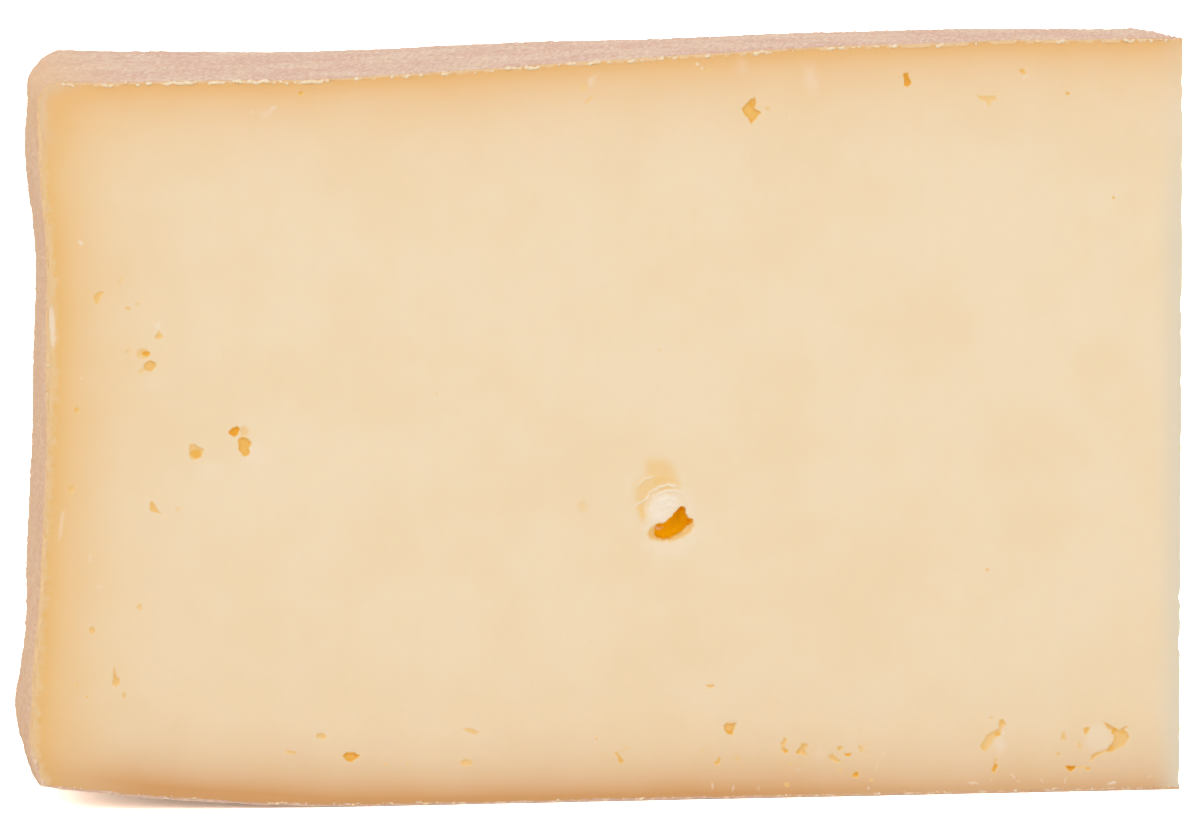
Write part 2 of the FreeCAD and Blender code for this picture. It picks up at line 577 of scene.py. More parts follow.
def addLights():
    for name, (spot, width, watts) in softLights.items():
        data = bpy.data.lights.new(name, "AREA")
        data.shape = "DISK"
        data.size = width
        data.energy = watts
        lamp = bpy.data.objects.new(name, data)
        bpy.context.scene.collection.objects.link(lamp)
        lamp.location = spot
        aim = Vector((0.0, 0.0, high.z / 2)) - Vector(spot)
        lamp.rotation_euler = aim.to_track_quat("-Z", "Y").to_euler()


def seenDirectly(tree):
    # 1 where the camera, a reflection or a clear material sees the surface
    path = tree.nodes.new("ShaderNodeLightPath").outputs
    either = sums(tree, "MAXIMUM", path["Is Camera Ray"], path["Is Glossy Ray"])
    return sums(tree, "MAXIMUM", either, path["Is Transmission Ray"])


def chooseShader(tree, factor, first, second):
    return addNode(tree, "MixShader", {0: factor, 1: first, 2: second})


def whiteGlow(tree, strength):
    return addNode(tree, "Background", {"Color": (1.0, 1.0, 1.0, 1.0), "Strength": strength})


def addWorld():
    world = bpy.data.worlds.new("studio")
    bpy.context.scene.world = world
    world.use_nodes = True
    tree = world.node_tree
    tree.nodes.clear()
    out = tree.nodes.new("ShaderNodeOutputWorld")
    shown = chooseShader(tree, seenDirectly(tree), whiteGlow(tree, fillLight), whiteGlow(tree, 1.0))
    tree.links.new(shown, out.inputs["Surface"])


# a matt white floor, which the camera sees as a lit white that only deep shade can darken; in that shade
# a warm glow is painted light, the light the cheese throws back onto the floor
floorLook = {
    "width": 6.0,
    "matt": (0.86, 0.86, 0.86, 1.0),
    "bright": (3.7, 3.6, 3.5, 1.0),
    "bounceGlow": (1.0, 0.77, 0.57, 1.0),
    "bounceGlowStrength": 0.28,
}


def addFloor():
    look = floorLook
    deselectAll()
    bpy.ops.mesh.primitive_plane_add(size=look["width"])
    floor = bpy.context.object
    floor.name = "floor"
    material = bpy.data.materials.new("floorMaterial")
    material.use_nodes = True
    tree = material.node_tree
    tree.nodes.clear()
    out = tree.nodes.new("ShaderNodeOutputMaterial")
    matt, bright = [addNode(tree, "BsdfDiffuse", {"Color": look[name]}) for name in ("matt", "bright")]
    # painted light: a warm glow tints the floor's deep shade like light thrown back from the cheese
    bounceGlow = addNode(tree, "Emission", {"Color": look["bounceGlow"], "Strength": look["bounceGlowStrength"]})
    lit = addNode(tree, "AddShader", {0: bright, 1: bounceGlow})
    sight = addNode(tree, "LightPath", {}, "Is Camera Ray")
    shown = chooseShader(tree, sight, matt, lit)
    tree.links.new(shown, out.inputs["Surface"])
    floor.data.materials.append(material)


# the paste: the whole slice inside its rind
paste = {
    "segments": (138, 22, 90),      # along the cut, across the wedge, upwards
    "underTop": 0.28 * mm,          # the rind covers this much at the top
    "underHeel": 0.3 * mm,
    "underBottom": 0.26 * mm,
    "eyeWall": 0.38,                # width of an eye's sloping wall, in millimetres
    "eyeBlur": 0.16,                # width over which its colour sets in
    "faint": 0.34,                  # below this tone it sets in ever more softly
    "faintBlur": 30.0,              # and this is how much
    "ragged": (0.09, 0.45),         # how far and over what length the eyes' outlines wander
    "faceWave": (0.03, 9.0),        # how far the cut faces do
    "fineMargins": (0.6, 0.15),     # round each eye the faces are made finer, twice
    "crisp": 0.3,                   # round a smear only where it is crisper than this
    # nicks along the tip cut's edges: depth, and size of the fine ones and of the chips
    "nicks": (0.36 * mm, 1.1 * mm, 2.2 * mm),
    "cornerReach": 11.0 * mm,
    # the bottom's dark band, dry cheese with painted shade, is thicker towards the heel: by how much,
    # from where, over what length
    "thicker": (0.7 * mm, 45.0 * mm, 30.0 * mm),
    "smooth": 42,                   # degrees up to which an edge is shaded smooth
}


def oval(halfWide, halfHigh, turn=0.0):
    c, s = math.cos(math.radians(turn)), math.sin(math.radians(turn))
    angles = [i * math.pi / 6 for i in range(12)]
    ring = [(halfWide * math.cos(a), halfHigh * math.sin(a)) for a in angles]
    return [(x * c - y * s, x * s + y * c) for x, y in ring]


# Eyes in the front face, in millimetres: from the heel, above the bottom, tone, depth and
# the outline around that place. The tone runs from 0, an ochre veil, to 1, deep amber.
frontEyes = [
    # below the top rind
    (78.4, 74.9, 0.62, 0.4, [(-1.0, 0.1), (-0.6, 0.6), (0.0, 1.2), (0.4, 1.3), (0.6, 0.8), (0.4, 0.1),
        (1.1, -0.3), (0.5, -1.0), (0.0, -1.6), (-0.4, -0.9), (-0.8, -0.6)]),
    (78.4, 75.4, 0.85, 0.3, oval(0.25, 0.42)),
    (80.2, 75.0, 0.3, 0.08, oval(0.3, 0.24)),
    (95.5, 77.9, 0.85, 0.4, [(-0.5, 0.7), (0.1, 0.8), (0.2, 0.3), (0.5, -0.3), (0.2, -0.6), (-0.1, -0.8),
        (-0.4, -0.6), (-0.4, -0.1)]),
    (104.3, 75.8, 0.34, 0.12, [(-1.4, 0.6), (-0.9, 0.3), (0.9, 0.3), (1.0, -0.2), (0.4, -0.4),
        (0.2, -1.0), (-0.2, -0.4), (-0.8, -0.3)]),
    (108.1, 78.7, 0.55, 0.22, [(-0.4, 0.2), (0.3, 0.2), (0.4, -0.3), (-0.1, -0.3)]),
    (113.1, 76.2, 0.6, 0.22, oval(0.24, 0.22)),
    (29.4, 77.3, 0.58, 0.22, oval(0.36, 0.32)),
    (60.1, 77.6, 0.28, 0.06, oval(0.5, 0.42)),
    (60.7, 76.2, 0.34, 0.06, oval(0.62, 0.16, 35)),
    (73.7, 79.3, 0.4, 0.2, oval(0.55, 0.12, 12)),
    # near the heel
    (7.5, 55.7, 0.48, 0.16, [(-0.6, 0.0), (-0.2, 0.5), (0.3, 0.7), (0.7, 0.5), (0.2, -0.1), (0.0, -0.7),
        (-0.3, -0.9), (-0.5, -0.4)]),
    (9.9, 57.4, 0.3, 0.08, oval(0.45, 0.16, 65)),
    (10.6, 54.4, 0.46, 0.12, oval(0.36, 0.17)),
    (11.7, 54.9, 0.26, 0.08, oval(0.26, 0.2)),
    (14.0, 51.4, 0.42, 0.14, [(0.0, 0.7), (0.5, -0.2), (0.0, -0.4), (-0.5, -0.2)]),
    (10.7, 49.8, 0.26, 0.08, oval(0.36, 0.24)),
    (12.3, 49.5, 0.3, 0.14, oval(0.78, 0.6)),
    (12.6, 49.5, 0.84, 0.28, oval(0.5, 0.34)),
    (13.0, 48.2, 0.5, 0.3, oval(0.72, 0.58, 15)),
    (12.2, 47.7, 0.32, 0.1, oval(0.55, 0.22, 25)),
    (5.1, 43.6, 0.55, 0.15, oval(0.36, 0.34)),
    (4.5, 35.0, 0.42, 0.12, oval(0.36, 0.55, -20)),
    (13.4, 32.9, 0.46, 0.2, [(-0.4, 0.7), (0.0, 0.6), (0.4, -0.2), (0.9, -0.7), (-0.1, -0.5), (-0.5, -0.3)]),
    (18.0, 38.8, 0.36, 0.25, [(-0.7, 0.9), (-0.2, 0.9), (0.9, 0.3), (0.7, -0.2), (0.2, -0.7),
        (-0.2, -0.9), (-0.7, -0.7), (-0.8, 0.1)]),
    (18.0, 38.6, 0.78, 0.3, oval(0.62, 0.5)),
    (22.1, 40.9, 0.96, 0.36, [(-0.7, 0.0), (-0.3, 0.4), (0.4, 0.7), (0.7, 0.3), (0.3, -0.4), (0.0, -0.6),
        (-0.4, -0.3)]),
    (23.2, 40.9, 0.27, 0.12, oval(0.55, 0.68)),
    (23.3, 39.3, 0.68, 0.34, [(-0.8, 0.7), (-0.4, 1.1), (0.2, 1.0), (0.8, 0.4), (0.5, 0.0), (0.5, -0.7),
        (0.1, -1.1), (-0.3, -0.9), (-0.7, -0.4)]),
    (16.0, 32.7, 0.24, 0.05, oval(0.3, 0.25)),
    (11.8, 22.2, 0.32, 0.1, oval(0.32, 0.4)),
    (6.7, 19.8, 0.42, 0.16, oval(0.36, 0.42)),
    (9.2, 14.3, 0.42, 0.22, [(-0.2, 1.6), (0.2, 0.4), (0.5, 0.2), (0.5, -0.4), (0.1, -0.7), (-0.4, -0.5),
        (-0.3, 0.2)]),
    (10.1, 12.7, 0.4, 0.14, oval(0.2, 0.42)),
    (5.0, 13.9, 0.5, 0.12, oval(0.2, 0.18)),
    (6.1, 12.6, 0.45, 0.12, oval(0.2, 0.16)),
    # along the bottom, up to the middle
    (28.2, 6.1, 0.36, 0.12, oval(0.68, 0.24, -6)),
    (31.5, 7.8, 0.36, 0.14, oval(0.6, 0.38)),
    (34.7, 5.5, 0.78, 0.4, [(-1.0, 0.1), (-0.5, 0.5), (0.4, 0.5), (1.1, 0.1), (0.6, -0.2), (0.2, -0.6),
        (-0.4, -0.5)]),
    (38.5, 4.6, 0.4, 0.1, oval(0.16, 0.13)),
    (40.9, 4.6, 0.4, 0.1, oval(0.16, 0.13)),
    (44.1, 44.7, 0.4, 0.08, oval(0.12, 0.12)),
    (47.8, 8.0, 0.34, 0.12, [(-1.0, 0.4), (0.1, 0.3), (1.0, 0.0), (0.5, -0.4), (-0.4, -0.1)]),
    (47.3, 4.6, 0.36, 0.12, oval(0.7, 0.42)),
    (61.5, 6.9, 0.45, 0.12, oval(0.18, 0.16)),
    (61.9, 5.4, 0.4, 0.1, oval(0.16, 0.14)),
    (62.4, 5.0, 0.4, 0.1, oval(0.14, 0.12)),
    (64.0, 4.9, 0.55, 0.22, [(-0.6, 0.4), (-0.3, 0.6), (0.0, 0.2), (0.6, -0.4), (0.3, -0.8), (-0.1, -0.7),
        (-0.2, 0.1)]),
    (64.6, 5.7, 0.36, 0.08, oval(0.66, 0.09, 22)),
    (68.4, 49.0, 0.4, 0.08, oval(0.12, 0.12)),
    (60.0, 32.2, 0.17, 0.05, oval(0.6, 0.65)),
    (60.8, 17.5, 0.4, 0.06, oval(0.12, 0.12)),
    (74.0, 12.4, 0.6, 0.16, oval(0.52, 0.13)),
    (76.1, 7.7, 0.52, 0.35, [(-0.7, 0.3), (-0.4, 0.6), (0.8, 0.6), (0.6, 0.1), (0.4, -0.6), (0.1, -0.8),
        (-0.5, -0.4)]),
    (76.1, 7.3, 0.82, 0.25, oval(0.36, 0.26)),
    (73.1, 5.3, 0.28, 0.08, oval(0.3, 0.14)),
    (77.0, 4.4, 0.28, 0.08, oval(0.26, 0.3)),
    (74.7, 4.2, 0.55, 0.25, [(-0.4, -0.1), (0.0, 0.0), (0.2, 0.5), (0.5, 0.3), (0.3, -0.3), (0.0, -0.6)]),
    # two groups, each torn out round a plug of paste that stayed
    (82.2, 5.7, 0.42, 0.22, [(-0.2, 1.0), (0.3, 0.7), (-0.1, 0.0), (0.4, -0.6), (-0.1, -0.9),
        (-0.4, -0.5), (-0.4, 0.0), (-0.7, 0.3), (-0.3, 0.5)]),
    (82.3, 5.1, 0.85, 0.2, oval(0.26, 0.2)),
    (84.1, 5.3, 0.44, 0.24, [(-0.8, -0.3), (-0.2, 0.3), (-0.1, 0.7), (0.7, 0.5), (0.3, -0.2), (0.6, -0.5),
        (0.4, -0.7), (-0.6, -0.5)]),
    (83.6, 5.0, 0.72, 0.14, oval(0.24, 0.26)),
    (88.2, 5.3, 0.5, 0.2, [(-0.4, 0.0), (-0.1, 0.3), (0.4, 0.3), (0.3, 0.0), (-0.1, -0.3)]),
    (87.7, 4.2, 0.4, 0.2, [(-0.8, 0.4), (-0.2, 0.5), (0.2, 0.0), (0.8, -0.2), (0.4, -0.5), (0.1, -0.5),
        (-0.7, 0.0)]),
    (89.1, 4.6, 0.95, 0.3, [(-0.5, 0.2), (0.0, 0.1), (0.5, 0.3), (0.2, -0.2), (-0.2, -0.2)]),
    (90.5, 5.2, 0.32, 0.12, [(-0.4, 0.4), (0.3, 0.4), (0.3, -0.1), (0.1, -0.5), (-0.2, -0.1)]),
    (91.1, 5.7, 0.28, 0.05, oval(0.5, 0.09, 8)),
    (91.0, 4.9, 0.28, 0.05, oval(0.45, 0.09, -35)),
    (90.0, 2.4, 0.85, 0.28, [(-0.5, -0.1), (0.0, 0.4), (0.3, 0.2), (0.3, -0.3), (-0.1, -0.3)]),
    (88.3, 2.9, 0.5, 0.1, oval(0.28, 0.1, -60)),
    (82.8, 3.7, 0.45, 0.1, oval(0.3, 0.1, -30)),
    (82.4, 1.5, 0.6, 0.12, oval(0.26, 0.2)),
    (91.7, 1.8, 0.36, 0.08, oval(0.2, 0.16)),
    # near the tip cut
    (105.2, 6.4, 0.34, 0.2, [(-1.5, -1.1), (-0.7, 0.2), (0.5, 0.8), (0.6, 1.7), (1.1, 1.8), (1.4, 1.1),
        (0.9, 0.7), (0.7, 0.0), (0.0, -0.5), (-0.7, -1.6), (-1.0, -1.8), (-1.4, -1.5)]),
    (105.6, 6.5, 0.72, 0.25, oval(0.36, 0.28)),
    (106.1, 7.7, 0.5, 0.14, oval(0.32, 0.42)),
    (104.1, 5.1, 0.44, 0.12, oval(0.38, 0.38)),
    (104.9, 8.3, 0.4, 0.1, oval(0.24, 0.1)),
    (105.3, 2.8, 0.78, 0.3, [(-0.4, -0.4), (-0.2, 0.2), (0.1, 0.6), (0.4, 0.2), (0.0, -0.5)]),
    (105.4, 3.6, 0.3, 0.08, oval(0.26, 0.36)),
    (104.4, 24.5, 0.45, 0.1, oval(0.18, 0.18)),
    (112.9, 6.0, 0.34, 0.12, [(-0.4, -0.3), (-0.2, 0.5), (0.2, 0.6), (0.2, 0.0), (0.5, -0.3), (0.0, -0.4)]),
    (112.3, 4.2, 0.46, 0.12, oval(0.24, 0.17)),
    (115.4, 6.8, 0.58, 0.22, [(-0.3, 0.1), (0.0, 0.3), (0.4, 0.3), (0.2, -0.3), (-0.2, -0.7)]),
    (114.7, 5.1, 0.28, 0.08, [(-0.3, -0.4), (-0.1, 0.4), (0.1, 0.5), (0.3, -0.3), (0.1, -0.5)]),
    (113.7, 2.6, 0.92, 0.4, [(-0.7, 0.3), (0.7, 0.3), (0.4, -0.2), (0.0, -0.4), (-0.4, -0.2)]),
    (114.9, 2.7, 0.45, 0.08, oval(0.66, 0.09)),
    (115.6, 2.5, 0.62, 0.18, oval(0.28, 0.22)),
    (118.3, 5.7, 0.42, 0.28, [(-1.1, 2.0), (-0.5, 1.8), (0.3, 1.2), (0.8, 1.0), (1.3, 1.4), (1.9, 1.4),
        (1.4, 1.0), (2.0, 0.2), (1.3, -0.8), (0.5, -1.1), (0.0, -1.5), (-0.9, -1.4), (-1.5, -1.8),
        (-2.6, -2.5), (-2.2, -1.6), (-1.1, -1.3), (-0.4, -0.9), (0.1, -0.2), (0.2, 0.4), (-0.1, 0.9),
        (-0.5, 1.1)]),
    (118.2, 4.7, 0.66, 0.2, oval(0.42, 0.32, 30)),
    (118.5, 6.6, 0.74, 0.22, oval(0.3, 0.44, -30)),
    (119.5, 6.4, 0.62, 0.16, oval(0.34, 0.28)),
    (118.2, 64.8, 0.5, 0.12, oval(0.16, 0.22)),
]

# flat pale marks on the front face, whitish cheese smeared by the knife: place, strength,
# softness and outline
frontSmears = [
    (116.7, 5.9, 0.28, 0.6, oval(1.5, 1.5)), (105.9, 5.3, 0.3, 0.4, oval(0.6, 0.9)),
    (2.5, 52.6, 0.55, 0.2, oval(0.3, 2.3, 3)), (3.4, 31.2, 0.35, 0.2, oval(0.16, 1.6, -8)),
    (5.6, 61.6, 0.7, 0.15, oval(0.28, 0.13, -35)), (13.9, 52.5, 0.4, 0.2, oval(0.3, 0.35)),
    (5.6, 47.0, 0.5, 0.1, oval(0.12, 0.14)), (25.7, 75.2, 0.28, 0.4, oval(0.8, 0.25, 25)),
    (26.4, 75.8, 0.45, 0.15, oval(0.42, 0.14, 20)), (24.1, 75.4, 0.35, 0.1, oval(0.12, 0.14)),
    (77.2, 79.6, 0.26, 0.5, oval(0.4, 0.9)), (84.9, 78.2, 0.34, 0.6, oval(0.5, 1.3, 8)),
    (60.9, 78.2, 0.35, 0.3, oval(0.35, 0.6)), (72.5, 79.9, 0.7, 0.1, oval(0.14, 0.14)),
    (73.0, 79.4, 0.6, 0.1, oval(0.12, 0.12)), (77.9, 75.0, 0.85, 0.1, oval(0.11, 0.11)),
    (108.4, 78.1, 0.6, 0.1, oval(0.3, 0.08, 25)), (82.6, 73.9, 0.6, 0.1, oval(0.11, 0.11)),
    (106.3, 6.6, 0.7, 0.1, oval(0.11, 0.13)), (102.9, 1.2, 0.55, 0.1, oval(0.65, 0.09, -8)),
    (104.9, 1.5, 0.35, 0.1, oval(0.2, 0.08, 40)), (107.3, 1.9, 0.5, 0.1, oval(0.1, 0.4, 35)),
    (107.9, 1.3, 0.4, 0.1, oval(0.26, 0.08, -20)), (110.5, 1.3, 0.35, 0.1, oval(0.09, 0.26, 30)),
    (113.1, 1.3, 0.45, 0.1, oval(0.08, 0.4, -10)), (118.3, 0.9, 0.7, 0.1, oval(0.5, 0.14, 10)),
    (122.5, 1.5, 0.35, 0.1, oval(0.3, 0.09, 20)), (91.4, 0.9, 0.6, 0.1, oval(0.14, 0.12)),
    (74.2, 1.5, 0.6, 0.1, oval(0.08, 0.36, 10)), (76.5, 1.2, 0.55, 0.1, oval(0.08, 0.36, -15)),
    (79.3, 1.1, 0.4, 0.1, oval(0.08, 0.28, 5)), (83.6, 3.0, 0.3, 0.1, oval(0.2, 0.1, 20)),
    (93.0, 4.6, 0.4, 0.1, oval(0.08, 0.12)), (92.3, 3.2, 0.28, 0.1, oval(0.08, 0.5, -25)),
    (28.0, 51.2, 0.22, 0.3, oval(0.15, 0.9, 35)), (7.4, 24.4, 0.3, 0.2, oval(0.3, 0.22)),
    (6.5, 27.6, 0.25, 0.2, oval(0.2, 0.5)), (86.1, 4.9, 0.16, 0.4, oval(0.7, 0.9)),
    (11.0, 24.4, 0.22, 0.3, oval(0.55, 0.3, -40)), (13.2, 46.4, 0.25, 0.6, oval(0.9, 0.5)),
    (19.5, 36.9, 0.22, 0.6, oval(1.4, 0.5)), (24.3, 38.4, 0.2, 0.6, oval(1.0, 1.3)),
]

# The large opened eye. Its hole lies in a sloping rim, below a shell of thin cheese that the
# knife dragged over it in terraces. Everything lies round its place, in millimetres.
shell = {
    "place": (69.75, 30.2),
    "hole": [(-1.7, -0.1), (-0.9, 0.0), (-0.3, 0.5), (0.4, 1.2), (0.8, 1.6), (1.1, 1.8), (1.4, 1.7),
        (1.6, 0.9), (1.8, 0.5), (2.3, 0.4), (2.3, 0.0), (1.8, -0.4), (1.2, -1.0), (0.6, -1.3),
        (-0.2, -1.7), (-0.9, -1.8), (-1.6, -1.6), (-1.9, -1.2), (-1.8, -0.5)],
    "holeDepth": 1.7,
    # the hole's deepest amber is partly its own colour and partly painted light
    "holeTone": 1.3,
    "rim": [(-1.7, 0.1), (-2.6, -0.6), (-2.8, -1.3), (-2.4, -1.8), (-1.4, -2.1), (0.0, -2.1), (1.2, -1.7),
        (2.2, -1.1), (2.6, -0.3), (2.5, 0.3), (2.0, 0.7), (0.0, 0.2)],
    "rimDepth": 0.55,
    "rimTone": 0.46,
    "thickRise": 0.12,              # how far the shell stands out where it is thick
    "edgeRise": 0.1,                # and along its edges
    # ochre where the shell is thin: tone, softness and outline
    "veils": [
        (0.27, 0.7, [(-2.9, 6.4), (-2.5, 6.9), (-1.3, 7.0), (-0.2, 6.6), (0.2, 5.9), (0.8, 4.4),
            (-0.4, 3.7), (-2.2, 3.1), (-2.9, 1.6), (-3.0, 0.2), (-3.6, 1.1), (-4.1, 3.1), (-3.9, 4.5),
            (-2.8, 5.1)]),
        (0.38, 0.6, [(-2.6, 3.7), (-2.2, 5.0), (-1.1, 5.4), (0.2, 5.0), (0.9, 4.2), (-0.4, 4.4)]),
        (0.36, 0.5, [(-3.9, 2.0), (-3.0, 2.4), (-2.9, 0.8), (-3.3, 0.2)]),
        (0.28, 0.6, [(-2.3, 5.2), (-1.6, 6.7), (-0.5, 6.2), (-0.3, 5.2)]),
        (0.34, 0.4, [(-1.8, 3.9), (-0.6, 4.2), (0.7, 3.9), (0.2, 3.5), (-1.2, 3.5)]),
    ],
    # whitish where it is thick: strength, softness and outline
    "thick": [
        (0.85, 0.8, [(-2.9, 1.6), (-2.2, 2.8), (-0.9, 3.3), (0.4, 2.9), (0.7, 1.9), (-0.2, 0.7),
            (-1.2, 0.1), (-2.2, 0.3)]),
        (0.6, 0.7, [(-3.1, 1.3), (-2.0, 1.2), (-1.7, 0.2), (-2.8, -0.5)]),
        (0.32, 1.1, [(-3.2, -2.0), (-1.0, -2.2), (1.8, -1.8), (2.7, -1.4), (1.6, -3.4), (-1.4, -3.6)]),
        (0.32, 0.7, [(2.4, 0.6), (1.9, 3.0), (1.0, 4.6), (1.6, 2.0), (1.7, 0.8)]),
    ],
    # the terraces' bright edges: half width, strength and the points that each passes
    "edges": [
        (0.1, 0.85, [(-2.4, 3.4), (-1.5, 3.9), (-0.5, 4.2), (0.6, 3.9)]),
        (0.13, 0.75, [(-2.0, 3.0), (-0.9, 3.5), (0.3, 3.6), (1.2, 3.2)]),
        (0.12, 0.85, [(-1.5, 2.3), (-0.5, 2.8), (0.5, 2.5)]),
        (0.1, 0.6, [(-1.2, 1.6), (-0.3, 2.0), (0.5, 1.7)]),
        (0.08, 0.95, [(-4.0, 2.0), (-2.8, 2.7), (-2.4, 3.5)]),
        (0.08, 0.7, [(-3.9, 4.1), (-2.9, 4.9), (-1.9, 5.2)]),
        (0.12, 0.9, [(-1.6, -0.5), (-1.2, -0.8), (-0.8, -0.6)]),
    ],
}

# the back face and the tip cut have eyes of their own, scattered
scatter = {
    "back": {"seed": 11, "count": 46, "span": (3.0, 122.0)},
    "tip": {"seed": 23, "count": 7, "span": (3.0, 13.0)},
}


def scatteredEyes(settings):
    # more of them near the rinds, a few larger ones inside
    draw = random.Random(settings["seed"])
    eyes = []
    for i in range(settings["count"]):
        along = draw.uniform(*settings["span"])
        if draw.random() < 0.6:
            upward = draw.choice((draw.uniform(2.0, 8.0), draw.uniform(70.0, 76.5)))
        else:
            upward = draw.uniform(12.0, 68.0)
        size = draw.uniform(0.2, 0.55) if draw.random() < 0.75 else draw.uniform(0.6, 1.2)
        squash, turn = draw.uniform(0.5, 1.0), draw.uniform(-50, 50)
        ring = oval(size, size * squash, turn)[::2]
        outline = [(x * f, y * f) for (x, y), f in zip(ring, (draw.uniform(0.65, 1.2) for _ in ring))]
        tone = draw.uniform(0.3, 0.6)
        eyes.append((along, upward, tone, size * draw.uniform(0.3, 0.6), outline))
        if size > 0.5:
            core = [(x * 0.5, y * 0.5) for x, y in outline]
            eyes.append((along, upward, tone + 0.3, size * 0.4, core))
    return eyes


def pasteBlank():
    # a cube, cut into fine rows and wrapped to the slice's form
    deselectAll()
    bpy.ops.mesh.primitive_cube_add(size=1.0)
    piece = bpy.context.object
    piece.name = "cheesePaste"
    piece.data.name = "cheesePaste"
    bpy.ops.object.mode_set(mode="EDIT")
    bpy.ops.transform.translate(value=(0.5, 0.5, 0.5))
    bpy.ops.object.mode_set(mode="OBJECT")
    for axis, count in enumerate(paste["segments"]):
        for cuts in rowCuts(count):
            selectOnly(piece, edges=edgesAlong(piece, axis))
            bpy.ops.mesh.subdivide(number_cuts=cuts)
            bpy.ops.object.mode_set(mode="OBJECT")
    share = getPoints(piece.data)
    setPoints(piece.data, wrapPaste(share))
    return piece


def edgesAlong(piece, axis):
    mesh = piece.data
    points = getPoints(mesh)
    ends = np.empty(len(mesh.edges) * 2, dtype=np.int32)
    mesh.edges.foreach_get("vertices", ends)
    ends = ends.reshape(-1, 2)
    way = np.abs(points[ends[:, 1]] - points[ends[:, 0]])
    return way[:, axis] > way.sum(axis=1) * 0.9


def rowCuts(count):
    # two passes of cuts that come near the wanted number of rows
    first = max(1, round(math.sqrt(count)))
    return (first - 1, round(count / first) - 1)


def wrapPaste(share):
    along, across, upward = share.T
    turn = across * wedgeAngle
    end = tipInset(turn)
    inset = along * end
    for _ in range(3):
        ceiling = topAt(inset) - paste["underTop"]
        ground = bottomAt(inset) + paste["underBottom"]
        z = mix(ground, ceiling, upward)
        inset = mix(heelInset(z) + paste["underHeel"], end, along)
    points = placeAt(inset, turn, z)
    points[:, 2] += topWave(inset, turn, points) * upward + footWave(points) * (1.0 - upward)
    # the heel's unevenness fades within the first ninth of the way to the tip
    return pushOut(points, turn, heelWave(turn, z) * (1.0 - ease(along * 9.0)))


backWay = Vector((math.cos(wedgeAngle), -math.sin(wedgeAngle), 0.0))
backOut = Vector((math.sin(wedgeAngle), math.cos(wedgeAngle), 0.0))
tipWay = Vector((-math.cos(wheel["tipCutAngle"]), math.sin(wheel["tipCutAngle"]), 0.0))
tipFacing = Vector((tipWay.y, -tipWay.x, 0.0))

# each cut face: a corner at its foot, the way along it and the way out of the cheese
cutFaces = {
    "front": (Vector((low.x, low.y, 0.0)), Vector((1.0, 0.0, 0.0)), Vector((0.0, -1.0, 0.0))),
    "back": (Vector((axisX, axisY, 0.0)) - backWay * wheel["radius"], backWay, backOut),
    "tip": (Vector((high.x, low.y, 0.0)), tipWay, tipFacing),
}


def onFace(points, name):
    # places on a cut face, in millimetres along it and up, and which points lie on it
    corner, way, out = cutFaces[name]
    offset = points - np.array(corner)
    along = offset @ np.array(way) / mm
    off = np.abs(offset @ np.array(out)) / mm
    return along, points[:, 2] / mm, off < 0.01


def toSegment(a, b, first, second):
    # distance of the points (a, b) from a straight stretch between two corners
    wayA, wayB = second[0] - first[0], second[1] - first[1]
    length = wayA ** 2 + wayB ** 2
    share = np.clip(((a - first[0]) * wayA + (b - first[1]) * wayB) / length, 0.0, 1.0)
    return np.hypot(a - first[0] - share * wayA, b - first[1] - share * wayB)


def insideOutline(a, b, outline):
    # distance inside a closed outline, negative outside it
    nearest = np.full(len(a), np.inf)
    inside = np.zeros(len(a), dtype=bool)
    for first, second in zip(outline, outline[1:] + outline[:1]):
        nearest = np.minimum(nearest, toSegment(a, b, first, second))
        crosses = (first[1] > b) != (second[1] > b)
        rise = second[1] - first[1] or 1.0
        inside ^= crosses & (a < first[0] + (b - first[1]) * (second[0] - first[0]) / rise)
    return np.where(inside, nearest, -nearest)


def nearby(along, upward, place, outline, margin=1.2):
    # which points an outline can touch, and their places round it
    reach = max(max(abs(x), abs(y)) for x, y in outline) + margin
    a, b = along - place[0], upward - place[1]
    index = np.nonzero((np.abs(a) < reach) & (np.abs(b) < reach))[0]
    return index, a[index], b[index]


def softInside(a, b, outline, soft):
    # from 0 to 1 across an outline, setting in over this far on either side of it
    return ease(0.5 + insideOutline(a, b, outline) / (2.0 * soft))


def raiseTo(values, index, amount):
    values[index] = np.maximum(values[index], amount)


